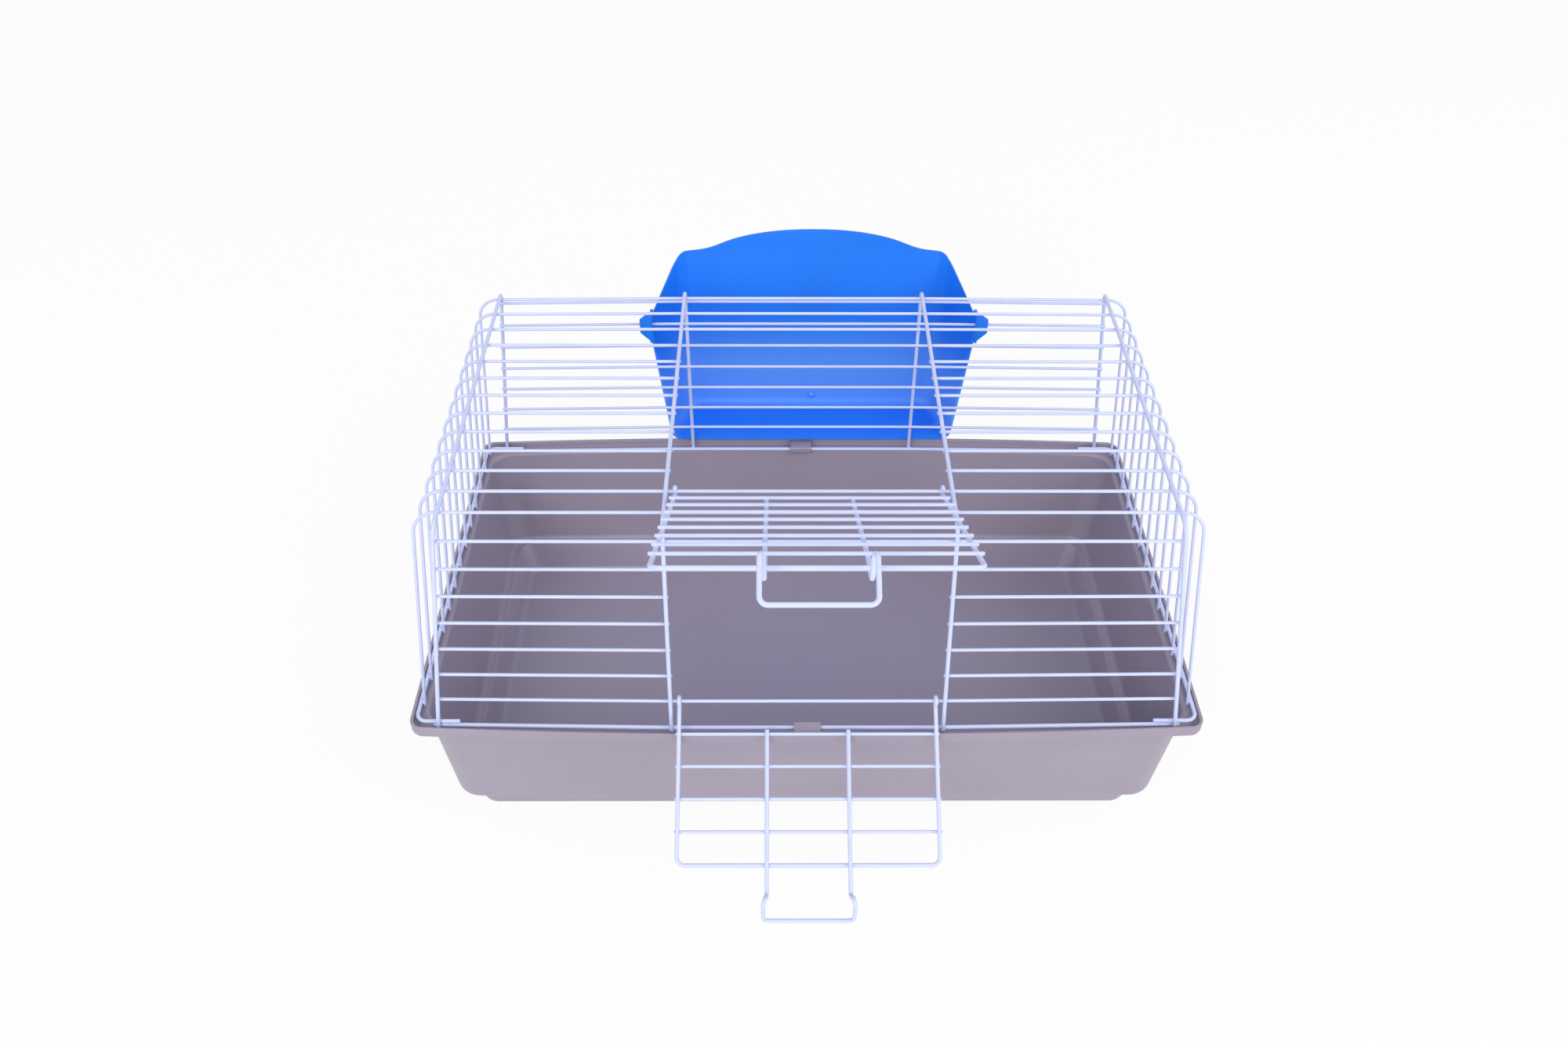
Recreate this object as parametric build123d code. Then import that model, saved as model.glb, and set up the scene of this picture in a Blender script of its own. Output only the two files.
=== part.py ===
from build123d import *
import math
import os

# Rabbit cage: moulded tray, welded wire top, two wire doors and a hung hay feeder.
# Millimetres. Origin at the centre of the tray's underside, X right, Y to the back, Z up.

# Tray
rim_width = 604.4
rim_depth = 350.0
rim_bow = 8.5
rim_corner = 10.2
tray_height = 136.7
sheet = 2.4
lip_height = 11.2
lip_wall = 3.4
lip_low_round = 4.2
ledge_drop = 6.5
wall_inset_top = 8.3
wall_inset_low = 16.5
wall_corner = 20.5
step_height = 27.4
foot_inset_top = 24.4
foot_inset_low = 32.0
foot_corner = 14.5
low_wall_round = 7.3
foot_round = 6.4
lip_round = 0.9
ledge_round = 2.0
clip_width = 20.0

# Wire
thin = 1.25
heavy = 1.6
weld_sink = 0.1
thin_on_heavy = thin + heavy - weld_sink
heavy_on_heavy = 2 * heavy - weld_sink
end_overhang = 2.0

# Wire top
rail_y = 167.2
roof_z = 300.7
front_lean = math.radians(11.95)
front_wire_first = 24.4
front_wire_pitch = 22.94
front_wire_count = 7
back_wire_top = 295.4
back_wire_pitch = 22.9
back_wire_count = 7
roof_wire_back = 165.0
roof_wire_pitch = 23.34
roof_wire_count = 13
roof_corner_x = 281.0
leg_foot_x = 295.0
leg_front_y = -148.0
leg_back_y = 161.0
leg_bend = 18.0
outer_stringer_top_x = 262.4
outer_stringer_low_x = 280.4
inner_stringer_x = 103.0
stringer_front_bend = 12.0
stringer_back_bend = 4.0
rail_hook_end_x = 264.0
rail_hook_bend = 8.0
front_bow = 3.3
back_bow = 3.6
bow_bend = 1500.0

# Doors, in a door's own frame: origin on the hinge wire, Y along the door, Z to its outer side
eye_gap = 0.06
eye_turn = 250.0
door_rail_x = 96.5
door_wire_half = 99.2
door_corner = 6.0
upright_x = 30.5
hook_x = 31.5
handle_x = 33.0
hook_depth = 16.0
hook_step = 6.0
hook_clear = 1.2
handle_rise = 8.0
upright_start = 3.0
top_door_length = 200.7
top_door_first = 22.3
top_door_wires = 8
top_door_tilt = 28.4
top_handle_reach = 22.0
front_door_length = 119.7
front_door_first = 24.1
front_door_wires = 4
front_door_tilt = 34.0
front_handle_reach = 17.0

# Hay feeder
feeder_x = 9.6
feeder_front_y = 177.4
feeder_depth = 58.0
feeder_wall = 2.0
feeder_low_z = 138.0
feeder_high_z = 336.0
front_half_low = 132.0
front_half_high = 154.5
back_half_low = 118.0
back_half_high = 126.0
feeder_corner = 16.0
feeder_low_round = 11.0
crest_z = 330.5
crest_turns = [(77.0, 318.9), (42.0, 327.7)]
crest_half = 104.0
shoulder_z = 309.9
shoulder_end = 118.9
shoulder_end_z = 308.1
shoulder_round = 13.0
side_end = 160.0
side_end_z = 252.0
ear_half = 153.0
ear_low_z = 257.5
ear_top_z = 287.0
ear_inner_y = 163.2
ear_wall = 2.4
ear_slant = 10.5
neck_top_z = 281.0
neck_length = 7.0
neck_low_z = 252.0

# Places worked out from the sizes above
ledge_z = tray_height - ledge_drop
rail_z = ledge_z + heavy
stringer_z = roof_z + thin_on_heavy
end_rail_z = rail_z + heavy_on_heavy
back_stringer_y = rail_y + heavy_on_heavy
panel_up_y = math.sin(front_lean)
panel_up_z = math.cos(front_lean)
front_foot_y = -rail_y - heavy_on_heavy * panel_up_z
front_foot_z = rail_z + heavy_on_heavy * panel_up_y


def front_line(along, inward):
    """Point (y, z) on the leaning front, measured up the stringers and inward from them."""
    y = front_foot_y + along * panel_up_y + inward * panel_up_z
    z = front_foot_z + along * panel_up_z - inward * panel_up_y
    return y, z


front_top_along = (stringer_z - front_foot_z) / panel_up_z
front_top_y = front_line(front_top_along, 0)[0]


def front_bow_at(along):
    """How far the inner stringers stand out of the front's plane."""
    return front_bow * panel_up_z * (1 - along / front_top_along)


def roof_bow(number):
    """How far the middle of a roof wire is bowed to the back, fading over the first three."""
    return back_bow * max(0, 4 - number) / 4


def roof_y(number):
    """Y of a roof wire, number 1 at the back."""
    return roof_wire_back - (number - 1) * roof_wire_pitch


def front_along(number):
    """Distance of a front wire up the stringers, number 1 at the top."""
    return front_wire_first + (front_wire_count - number) * front_wire_pitch


def front_place(number):
    """Point (y, z) of a front wire's axis on the outer stringers."""
    return front_line(front_along(number), thin_on_heavy)


def front_middle(number):
    """Point (y, z) of a front wire's axis between the inner stringers."""
    along = front_along(number)
    return front_line(along, thin_on_heavy - front_bow_at(along))


def outer_x(z):
    """X of an outer stringer's axis at a height on the front or back."""
    share = (z - rail_z) / (stringer_z - rail_z)
    return outer_stringer_low_x + share * (outer_stringer_top_x - outer_stringer_low_x)


# Wire makers
def bent_wire(points, radius, bends):
    path = FilletPolyline(*points, radius=bends)
    start = Plane(origin=path @ 0, z_dir=path % 0)
    return sweep(start * Circle(radius), path=path)


def straight_wire(start, end, radius):
    run = Vector(*end) - Vector(*start)
    plane = Plane(origin=start, z_dir=run)
    return plane * Cylinder(radius, run.length, align=(Align.CENTER, Align.CENTER, Align.MIN))


def cross_wire(half, y, z, radius):
    return straight_wire((-half, y, z), (half, y, z), radius)


def bowed_wire(half, place, middle, radius):
    """Cross wire that is straight between the inner stringers and falls back to its ends."""
    x = inner_stringer_x
    points = [(-half, *place), (-x, *middle), (x, *middle), (half, *place)]
    return bent_wire(points, radius, bow_bend)


# Tray
def tray_plan(inset, z, corner):
    """Rounded oblong at a height whose long sides bow outward."""
    half_x = rim_width / 2 - inset
    half_y = rim_depth / 2 - inset
    bow = rim_bow * (0.04 + 0.96 * z / tray_height)
    front = ThreePointArc((-half_x, -half_y), (0, -half_y - bow), (half_x, -half_y))
    right = Line((half_x, -half_y), (half_x, half_y))
    back = ThreePointArc((half_x, half_y), (0, half_y + bow), (-half_x, half_y))
    left = Line((-half_x, half_y), (-half_x, -half_y))
    outline = make_face([front, right, back, left])
    outline = fillet(outline.vertices(), corner)
    return Pos(0, 0, z) * outline


def tray_block(low_inset, low_z, low_corner, high_inset, high_z, high_corner, low_round):
    """Tapered block between two plans with its lower edge rounded."""
    low = tray_plan(low_inset, low_z, low_corner)
    high = tray_plan(high_inset, high_z, high_corner)
    block = loft([low, high], ruled=True)
    if low_round > 0:
        low_edges = block.edges().group_by(Axis.Z)[0]
        block = fillet(low_edges, low_round)
    return block


def clip_tab(side):
    """Clip moulded on the rim that hooks over a base rail; side is -1 at the front, 1 at the back."""
    outer = rim_depth / 2 + rim_bow - sheet / 2
    bow = front_bow if side < 0 else back_bow
    top = rail_z + heavy + 2.6
    under = rail_z + heavy + 0.25
    nose_out = rail_y + bow - heavy - 0.3
    nose_in = nose_out - 2.2
    nose_low = rail_z - 0.4
    outline = [
        (side * outer, under),
        (side * nose_out, under),
        (side * nose_out, nose_low),
        (side * (nose_in + 0.8), nose_low),
        (side * nose_in, nose_low + 1.0),
        (side * nose_in, top - 1.2),
        (side * (nose_in + 1.2), top),
        (side * outer, top),
    ]
    face = make_face(Polyline(*outline, close=True))
    tab = extrude(Plane.YZ * face, clip_width / 2, both=True)
    return tab


def is_ledge_edge(edge):
    """True for an edge where the rail ledge turns down into the wall."""
    middle = edge.position_at(0.5)
    inset_x = rim_width / 2 - abs(middle.X)
    inset_y = rim_depth / 2 + rim_bow - abs(middle.Y)
    return min(inset_x, inset_y) > sheet + 4.0


def make_tray():
    lip_low = tray_height - lip_height
    flange_low = ledge_z - sheet
    rise = tray_height - lip_low
    lip = extrude(tray_plan(0, lip_low, rim_corner), rise)
    lip = fillet(lip.edges().group_by(Axis.Z)[0], lip_low_round)
    pocket = extrude(tray_plan(sheet, ledge_z, rim_corner - sheet), ledge_drop + 1)
    groove = extrude(tray_plan(lip_wall, lip_low - 1, rim_corner - lip_wall), flange_low - lip_low + 1)
    lip = lip - pocket - groove
    wall = tray_block(wall_inset_low, step_height, wall_corner,
                      wall_inset_top, ledge_z, wall_corner, low_wall_round)
    foot = tray_block(foot_inset_low, 0, foot_corner,
                      foot_inset_top, step_height + sheet, foot_corner, foot_round)
    step_room = tray_block(wall_inset_low + sheet, step_height + sheet, wall_corner - sheet,
                           wall_inset_top + sheet, ledge_z + 0.1, wall_corner - sheet,
                           low_wall_round - sheet)
    foot_room = tray_block(foot_inset_low + sheet, sheet, foot_corner - sheet,
                           foot_inset_top + sheet, step_height + sheet + 0.1, foot_corner - sheet,
                           foot_round - 1.0)
    tray = lip + wall + foot - step_room - foot_room
    top_edges = tray.edges().group_by(Axis.Z)[-1]
    tray = fillet(top_edges, lip_round)
    ledge_edges = tray.edges().filter_by_position(Axis.Z, ledge_z - 0.05, ledge_z + 0.05)
    ledge_edges = [edge for edge in ledge_edges if is_ledge_edge(edge)]
    tray = fillet(ledge_edges, ledge_round)
    return tray + clip_tab(-1) + clip_tab(1)


# Wire top
def make_stringer(low_x, top_x, bowed):
    low_along = -1.2
    back_y = back_stringer_y + bowed * back_bow
    low_y, low_z = front_line(low_along, -bowed * front_bow_at(low_along))
    points = [
        (low_x, back_y, rail_z - 0.9),
        (top_x, back_y, stringer_z),
        (top_x, front_top_y, stringer_z),
        (low_x, low_y, low_z),
    ]
    return bent_wire(points, heavy, [stringer_back_bend, stringer_front_bend])


def make_base_rail(side, bow):
    end = (side * rail_y, rail_z)
    middle = (side * (rail_y + bow), rail_z)
    return bowed_wire(outer_stringer_low_x + 4.0, end, middle, heavy)


def make_end_rail(side):
    hook_y = rail_y - 0.65
    rail_x = leg_foot_x - 0.25 + thin_on_heavy
    points = [
        (side * rail_hook_end_x, -hook_y, end_rail_z),
        (side * rail_x, -hook_y, end_rail_z),
        (side * rail_x, rail_y, end_rail_z),
        (side * rail_hook_end_x, rail_y, end_rail_z),
    ]
    return bent_wire(points, heavy, rail_hook_bend)


def leg_foot(number):
    """Lower end of a roof wire's leg on the right-hand end."""
    share = (number - 1) / (roof_wire_count - 1)
    y = leg_back_y + share * (leg_front_y - leg_back_y)
    return leg_foot_x, y, end_rail_z - 3.0


def make_roof_wire(number):
    x, y, z = leg_foot(number)
    across = roof_y(number)
    bow = roof_bow(number)
    half = [(x, y, z), (roof_corner_x, across, roof_z)]
    bends = [leg_bend]
    if bow > 0:
        half.append((inner_stringer_x, across + bow, roof_z))
        bends.append(bow_bend)
    other = [(-x, y, z) for x, y, z in reversed(half)]
    return bent_wire(half + other, thin, bends + bends[::-1])


def make_side_roof_wire(number, side):
    x, y, z = leg_foot(number)
    across = roof_y(number)
    points = [
        (side * x, y, z),
        (side * roof_corner_x, across, roof_z),
        (side * (inner_stringer_x - end_overhang), across, roof_z),
    ]
    return bent_wire(points, thin, leg_bend)


def make_front_wire(number):
    place = front_place(number)
    half = outer_x(place[1]) + end_overhang
    return bowed_wire(half, place, front_middle(number), thin)


def make_side_front_wire(number, side):
    place = front_place(number)
    half = outer_x(place[1]) + end_overhang
    start = (side * (inner_stringer_x - end_overhang), *front_middle(number))
    return straight_wire(start, (side * half, *place), thin)


def make_back_wire(number):
    z = back_wire_top - (number - 1) * back_wire_pitch
    y = back_stringer_y - thin_on_heavy
    return bowed_wire(outer_x(z) + end_overhang, (y, z), (y + back_bow, z), thin)


# Doors
eye_radius = thin + eye_gap + heavy


def eye_point(x, turn):
    """Point on an eye's centre line, counted back from where the rail leaves it."""
    angle = math.radians(turn)
    return x, -eye_radius * math.sin(angle), eye_radius * math.cos(angle)


def make_door_frame(length):
    x = door_rail_x
    left_eye = ThreePointArc(eye_point(-x, eye_turn), eye_point(-x, eye_turn / 2), eye_point(-x, 0))
    hoop = FilletPolyline((-x, 0, eye_radius), (-x, length, eye_radius), (x, length, eye_radius),
                          (x, 0, eye_radius), radius=door_corner)
    right_eye = ThreePointArc(eye_point(x, 0), eye_point(x, eye_turn / 2), eye_point(x, eye_turn))
    path = Wire(left_eye.edges() + hoop.edges() + right_eye.edges())
    start = Plane(origin=path @ 0, z_dir=path % 0)
    return sweep(start * Circle(heavy), path=path)


def door_wire_places(length, first, count):
    pitch = (length - first) / count
    return [first + pitch * index for index in range(count)]


def make_door_wires(length, first, count, outward):
    level = eye_radius + outward * thin_on_heavy
    places = door_wire_places(length, first, count)
    return [cross_wire(door_wire_half, place, level, thin) for place in places]


def make_latch(length, first, count, outward, catch, reach):
    """Two uprights, hooks past the catch wire and the handle between them, bent from one wire."""
    level = eye_radius
    out_level = eye_radius + outward * heavy_on_heavy
    last = door_wire_places(length, first, count)[-1]
    hook_y = catch + thin + heavy + hook_clear
    tip = out_level - hook_depth
    half = [
        (upright_x, first - upright_start, level),
        (upright_x, last + 4.0, level),
        (upright_x, length - 2.0, out_level),
        (upright_x, hook_y, out_level),
        (hook_x, hook_y, tip),
        (handle_x, hook_y + hook_step, tip),
        (handle_x, hook_y + reach, out_level + handle_rise),
    ]
    other = [(-x, y, z) for x, y, z in reversed(half)]
    bends = [14.0, 14.0, 4.0, 3.4, 3.4, 5.0]
    return bent_wire(half + other, heavy, bends + bends[::-1])


top_door_place = Pos(0, roof_y(12), roof_z) * Rot(180 - top_door_tilt, 0, 0)
front_hinge_y, front_hinge_z = front_middle(7)
front_door_place = Pos(0, front_hinge_y, front_hinge_z) * Rot(180 + front_door_tilt, 0, 0)
top_catch = roof_y(3) + roof_bow(3) - roof_y(12)
front_catch = math.dist(front_middle(1), front_middle(7))


# Hay feeder
def feeder_plan(z, inset, open_front):
    """Plan of the feeder at a height, narrowing to the back and to the floor."""
    share = (z - feeder_low_z) / (feeder_high_z - feeder_low_z)
    front_half = front_half_low + share * (front_half_high - front_half_low) - inset
    back_half = back_half_low + share * (back_half_high - back_half_low) - inset
    back_y = feeder_front_y + feeder_depth - inset
    front_y = feeder_front_y - open_front
    flare = (front_half - back_half) / (back_y - feeder_front_y)
    front_half = front_half + open_front * flare
    corners = [(-front_half, front_y), (front_half, front_y), (back_half, back_y), (-back_half, back_y)]
    outline = make_face(Polyline(*corners, close=True))
    back_corners = outline.vertices().group_by(Axis.Y)[-1]
    outline = fillet(back_corners, feeder_corner - inset)
    return Pos(0, 0, z) * outline


def feeder_block(low_z, inset, open_front, low_round):
    plans = [feeder_plan(low_z, inset, open_front), feeder_plan(feeder_high_z, inset, open_front)]
    block = loft(plans, ruled=True)
    low_edges = block.edges().group_by(Axis.Z)[0]
    low_edges = [edge for edge in low_edges if edge.center().Y > feeder_front_y + 1.0]
    return fillet(low_edges, low_round)


def feeder_outline():
    """Front view of the feeder: arched crest, rounded shoulders and sides falling to the front."""
    low_z = feeder_low_z - 5.0
    arch_points = [(crest_half, shoulder_z)] + crest_turns + [(0, crest_z)]
    right = Spline(arch_points, tangents=[(-1, 0.12), (-1, 0)])
    mirrored = [(-x, z) for x, z in reversed(arch_points)]
    left = Spline(mirrored, tangents=[(-1, 0), (-1, -0.12)])
    rest = Polyline((-crest_half, shoulder_z), (-shoulder_end, shoulder_end_z), (-side_end, side_end_z),
                    (-side_end, low_z), (side_end, low_z), (side_end, side_end_z),
                    (shoulder_end, shoulder_end_z), (crest_half, shoulder_z))
    outline = make_face([right, left] + rest.edges())
    shoulders = [v for v in outline.vertices() if abs(abs(v.X) - shoulder_end) < 0.1]
    return fillet(shoulders, shoulder_round)


def make_ear(side):
    """Hook that passes over the second back wire and hangs inside the cage."""
    wire_z = back_wire_top - back_wire_pitch
    wire_y = back_stringer_y - thin_on_heavy + 0.66 * back_bow
    neck_under = wire_z + thin + 0.3
    tab_outer = wire_y - thin - 0.5
    neck_end = feeder_front_y + neck_length
    hook = [
        (ear_inner_y, ear_low_z),
        (tab_outer, ear_low_z),
        (tab_outer, neck_under),
        (feeder_front_y + 0.3, neck_under),
        (feeder_front_y + 0.3, neck_low_z),
        (neck_end, neck_low_z),
        (neck_end, neck_top_z - 5.0),
        (neck_end - 3.0, neck_top_z),
        (ear_inner_y, neck_top_z),
    ]
    share = (neck_under - feeder_low_z) / (feeder_high_z - feeder_low_z)
    inner_x = front_half_low + share * (front_half_high - front_half_low) - ear_wall - 2.6
    plate = extrude(Plane.YZ * make_face(Polyline(*hook, close=True)), ear_wall)
    plate = Pos(inner_x, 0, 0) * plate
    flange = [
        (inner_x, ear_low_z),
        (ear_half - ear_slant, ear_low_z),
        (ear_half, ear_low_z + ear_slant),
        (ear_half, ear_top_z - 6.0),
        (ear_half - 5.0, ear_top_z - 2.0),
        (inner_x, ear_top_z),
    ]
    flange_face = Plane.XZ * make_face(Polyline(*flange, close=True))
    wing = Pos(0, ear_inner_y, 0) * extrude(flange_face, -ear_wall)
    ear = plate + wing
    if side < 0:
        ear = mirror(ear, about=Plane.YZ)
    return ear


def make_feeder():
    shell = feeder_block(feeder_low_z, 0, 0, feeder_low_round)
    room = feeder_block(feeder_low_z + feeder_wall, feeder_wall, 5.0, feeder_low_round - feeder_wall)
    front_view = extrude(Plane.XZ * feeder_outline(), -(feeder_front_y + feeder_depth + 5.0))
    feeder = (shell - room) & front_view
    feeder = feeder + make_ear(-1) + make_ear(1)
    return Pos(feeder_x, 0, 0) * feeder


def save(name, shapes):
    solids = []
    for shape in shapes:
        solids.extend(shape.solids())
    if len(solids) == 1:
        export_step(solids[0], f"parts/{name}.step")
    else:
        export_step(Compound(solids), f"parts/{name}.step")


os.makedirs("parts", exist_ok=True)
side_numbers = range(4, 12)
front_side_numbers = range(3, 7)

save("tray", [make_tray()])
save("front_base_rail", [make_base_rail(-1, front_bow)])
save("back_base_rail", [make_base_rail(1, back_bow)])
save("left_base_rail", [make_end_rail(-1)])
save("right_base_rail", [make_end_rail(1)])
save("outer_stringer_left", [make_stringer(-outer_stringer_low_x, -outer_stringer_top_x, 0)])
save("outer_stringer_right", [make_stringer(outer_stringer_low_x, outer_stringer_top_x, 0)])
save("inner_stringer_left", [make_stringer(-inner_stringer_x, -inner_stringer_x, 1)])
save("inner_stringer_right", [make_stringer(inner_stringer_x, inner_stringer_x, 1)])
save("roof_wires_back", [make_roof_wire(number) for number in (1, 2, 3)])
save("roof_wire_hinge", [make_roof_wire(12)])
save("roof_wire_front", [make_roof_wire(13)])
save("roof_wires_left", [make_side_roof_wire(number, -1) for number in side_numbers])
save("roof_wires_right", [make_side_roof_wire(number, 1) for number in side_numbers])
save("front_wires_top", [make_front_wire(number) for number in (1, 2)])
save("front_wire_hinge", [make_front_wire(7)])
save("front_wires_left", [make_side_front_wire(number, -1) for number in front_side_numbers])
save("front_wires_right", [make_side_front_wire(number, 1) for number in front_side_numbers])
save("back_wires", [make_back_wire(number + 1) for number in range(back_wire_count)])

top_wires = make_door_wires(top_door_length, top_door_first, top_door_wires, -1)
top_latch = make_latch(top_door_length, top_door_first, top_door_wires, 1, top_catch, top_handle_reach)
save("top_door_frame", [top_door_place * make_door_frame(top_door_length)])
save("top_door_wires", [top_door_place * wire for wire in top_wires])
save("top_door_latch", [top_door_place * top_latch])

front_wires = make_door_wires(front_door_length, front_door_first, front_door_wires, 1)
front_latch = make_latch(front_door_length, front_door_first, front_door_wires, -1, front_catch,
                         front_handle_reach)
save("front_door_frame", [front_door_place * make_door_frame(front_door_length)])
save("front_door_wires", [front_door_place * wire for wire in front_wires])
save("front_door_latch", [front_door_place * front_latch])

save("hay_feeder", [make_feeder()])
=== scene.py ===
import math
from collections import namedtuple

import bmesh
import bpy
from bpy.props import FloatProperty, FloatVectorProperty, IntProperty, PointerProperty
from mathutils import Matrix, Vector


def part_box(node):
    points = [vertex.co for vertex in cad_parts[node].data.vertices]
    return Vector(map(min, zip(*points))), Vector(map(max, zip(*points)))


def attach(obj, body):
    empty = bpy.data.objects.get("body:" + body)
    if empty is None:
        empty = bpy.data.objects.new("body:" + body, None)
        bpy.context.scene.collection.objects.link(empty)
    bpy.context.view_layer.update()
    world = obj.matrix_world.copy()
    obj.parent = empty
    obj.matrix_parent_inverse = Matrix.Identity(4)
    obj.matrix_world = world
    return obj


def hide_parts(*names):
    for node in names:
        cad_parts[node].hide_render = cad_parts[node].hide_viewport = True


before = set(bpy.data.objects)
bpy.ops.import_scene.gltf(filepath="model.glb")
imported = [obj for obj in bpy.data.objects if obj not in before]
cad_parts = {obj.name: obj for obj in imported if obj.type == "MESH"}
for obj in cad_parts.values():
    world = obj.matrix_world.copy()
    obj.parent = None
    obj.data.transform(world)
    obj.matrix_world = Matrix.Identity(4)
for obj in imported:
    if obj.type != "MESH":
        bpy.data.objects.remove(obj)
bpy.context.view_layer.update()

bl_info = {
    "name": "Rabbit Cage",
    "version": (1, 0, 0),
    "blender": (4, 5, 0),
    "location": "3D View > Sidebar > Cage",
    "description": "Wire-topped cage with a moulded tray, two wire doors and a hung hay feeder",
    "category": "Add Mesh",
}

# Tray, in metres from the middle of its underside
TRAY_LOW, TRAY_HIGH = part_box("tray")
RIM_WIDTH = TRAY_HIGH.x - TRAY_LOW.x
RIM_TOP = TRAY_HIGH.z
RIM_DEPTH = 0.350
RIM_BOW = 0.0085
LIP_LOW = 0.1255
LEDGE = 0.1302
# Turns of the tray's section from the underside round the lip to the floor:
# inset from the rim, height, corner radius in plan, radius of the turn
Turn = namedtuple("Turn", "inset height corner radius")
TRAY_TURNS = (
    Turn(0.0320, 0.0000, 0.0145, 0.0064),
    Turn(0.0250, 0.0274, 0.0145, 0.0012),
    Turn(0.0165, 0.0274, 0.0205, 0.0073),
    Turn(0.0085, 0.1278, 0.0205, 0.0008),
    Turn(0.0040, 0.1278, 0.0062, 0.0004),
    Turn(0.0040, LIP_LOW, 0.0062, 0.0003),
    Turn(0.0000, LIP_LOW, 0.0102, 0.0036),
    Turn(0.0000, RIM_TOP, 0.0102, 0.0009),
    Turn(0.0024, RIM_TOP, 0.0078, 0.0009),
    Turn(0.0024, LEDGE, 0.0078, 0.0008),
    Turn(0.0107, LEDGE, 0.0181, 0.0035),
    Turn(0.0189, 0.0298, 0.0181, 0.0049),
    Turn(0.0268, 0.0298, 0.0121, 0.0014),
    Turn(0.0344, 0.0024, 0.0121, 0.0054),
)
SMALL_TURN = 0.002
SMALL_TURN_STEPS = 3
LARGE_TURN_STEPS = 6

# Clips on the rim
CLIP_OVER_RAIL = 0.00025
CLIP_BESIDE_RAIL = 0.0003
NOSE_DROP = 0.0028
TOE_INSET = 0.0008
TOE_RISE = 0.001
SHOULDER = 0.0012
CLIP_EDGE_ROUND = 0.00035
CLIP_EDGE_STEPS = 2

# Wire top; roof wires are numbered from the back, front and back wires from the top
RAIL_Y = 0.1672
ROOF = 0.3007
LEAN = math.radians(11.95)
FRONT_FIRST = 0.0244
FRONT_PITCH = 0.02294
FRONT_COUNT = 7
FRONT_CATCH = 1
FRONT_FULL = 2
BACK_TOP = 0.2954
BACK_PITCH = 0.0229
BACK_COUNT = 7
ROOF_BACK_Y = 0.165
ROOF_PITCH = 0.02334
ROOF_COUNT = 13
ROOF_CATCH = 3
ROOF_HINGE = 12
ROOF_CORNER_X = 0.281
LEG_FOOT_X = 0.295
LEG_FRONT_Y = -0.148
LEG_BACK_Y = 0.161
LEG_DROP = 0.003
LEG_SINK = 0.00025
LEG_BEND = 0.018
OUTER_TOP_X = 0.2624
OUTER_LOW_X = 0.2804
INNER_X = 0.103
STRINGER_FRONT_BEND = 0.012
STRINGER_BACK_BEND = 0.004
STRINGER_FRONT_END = 0.0012
STRINGER_BACK_END = 0.0009
HOOK_END_X = 0.264
HOOK_BEND = 0.008
HOOK_SHIFT = 0.00065
HOOK_WELDS = (0.3, 0.75)
FRONT_BOW = 0.0033
BACK_BOW = 0.0036
BOW_BEND = 1.5
OVERHANG = 0.002

# Doors, flat in their own frame: hinge along X, Y along the door, Z to its outer side
EYE_GAP = 0.00006
EYE_TURN = math.radians(250)
DOOR_RAIL_X = 0.0965
DOOR_WIRE_HALF = 0.0992
DOOR_CORNER = 0.006
UPRIGHT_X = 0.0305
LATCH_X = 0.0315
HANDLE_X = 0.033
LATCH_DEPTH = 0.016
LATCH_STEP = 0.006
LATCH_CLEAR = 0.0012
HANDLE_RISE = 0.008
UPRIGHT_BEFORE_FIRST = 0.003
UPRIGHT_AFTER_LAST = 0.004
UPRIGHT_BEFORE_HOOP = 0.002
LATCH_BENDS = (0.014, 0.014, 0.004, 0.0034, 0.0034, 0.005)

# Fine shape of the wire: its bends, rounded ends and welds
FEWEST_STEPS = 2
END_SHARE = 0.4
ROUND_STEPS = 3
WELD_SINK = 0.0001
BEAD_WIDTH = 0.85
BEAD_HEIGHT = 0.5
BEAD_SIDES = 8
BEAD_RINGS = 6

# Hay feeder, whose gate mark is where the mould was filled
SAME_PLACE = 1e-6
FLAT_ANGLE = math.radians(0.5)
EDGE_ANGLE = math.radians(40)
GATE_MARK = (0.0110, 0.2328, 0.1505)
GATE_MARK_DEPTH = 0.65
GATE_MARK_SIDES = 16
GATE_MARK_RINGS = 8

# Angles past which an edge is shaded sharp
SHARP_WIRE = math.radians(50)
SHARP_MOULDING = math.radians(35)

# Directions and sides, seen from the front door
RIGHT = (1, 0, 0)
BACK = (0, 1, 0)
UP = (0, 0, 1)
UP_FRONT = (0, math.sin(LEAN), math.cos(LEAN))
SIDES = (("left", -1), ("right", 1))

# Where a finish's low tone starts above the piece's floor, and how much of it is on front faces alone; on
# the feeder that tone is painted sheen, lighter on the front faces of its lower back wall
NO_FLOOR = {"Floor Height": -1.0, "Wall Height": -0.9, "Painted Light Front Only": 0.0}
FEEDER_PAINTED_SHEEN = {"Floor Height": 0.136, "Wall Height": 0.148, "Painted Light Front Only": 0.85}

# Sockets of the shader groups
COLOUR = "NodeSocketColor"
VALUE = "NodeSocketFloat"
GREY = (0.5, 0.5, 0.5, 1)
WHITE = (1, 1, 1, 1)

# Studio, whose backdrop is as bright as its floor
FLOOR_HALF = 6.0
FLOOR_DROP = 0.0005
BACKDROP = 0.975
KEY_PLACE = (-1.5, -3.7, 3.0)
KEY_SIZE = 3.2
FILL_PLACE = (3.0, -1.9, 2.6)
FILL_SIZE = 3.6
LIGHT_AIM = (0, 0, 0.15)
SENSOR_WIDTH = 36
NEAREST_SEEN = 0.01


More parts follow.
